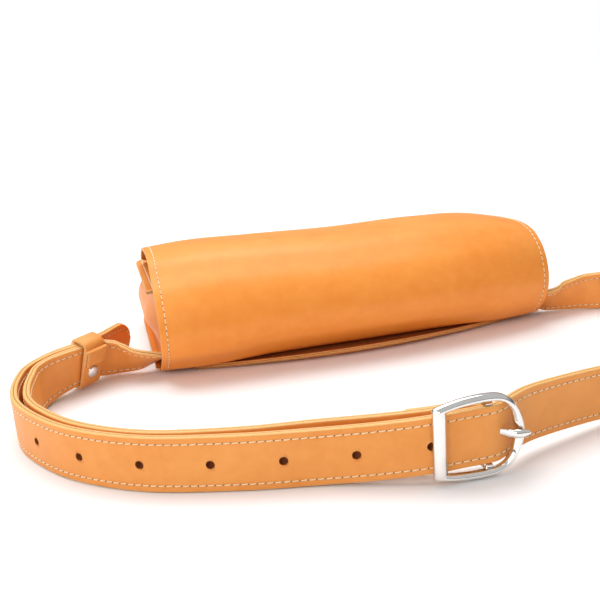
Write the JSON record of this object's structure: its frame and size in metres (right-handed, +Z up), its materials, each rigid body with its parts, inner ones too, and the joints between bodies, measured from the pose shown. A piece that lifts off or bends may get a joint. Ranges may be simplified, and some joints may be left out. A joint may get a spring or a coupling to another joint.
{
  "type": "leather belt bag",
  "caption": "Small leather bag with a full flap rolled over its mouth, sewn to a buckled belt that lies on edge in a loop.",
  "frame": {"origin": "middle of the whole object's box, on the surface that it lies on", "axes": "+X along the bag's length, to the side of the plain belt half; +Y from the belt's loop towards the bag; +Z up from the surface"},
  "size_m": [0.411, 0.3118, 0.07],
  "materials": {
    "flap_leather": "smooth, slight sheen",
    "body_leather": "smooth, slight sheen",
    "belt_leather": "smooth",
    "polished_metal": "polished"
  },
  "bodies": {
    "root": {"flap_and_back_panel": "flap_leather", "front_panel": "body_leather", "gusset": "body_leather", "back_pocket_panel": "body_leather", "buckle_strap": "belt_leather", "hole_strap": "belt_leather", "keeper_loop": "belt_leather", "buckle_frame": "polished_metal", "buckle_prong": "polished_metal", "keeper_rivet": "polished_metal"}
  },
  "joints": []
}
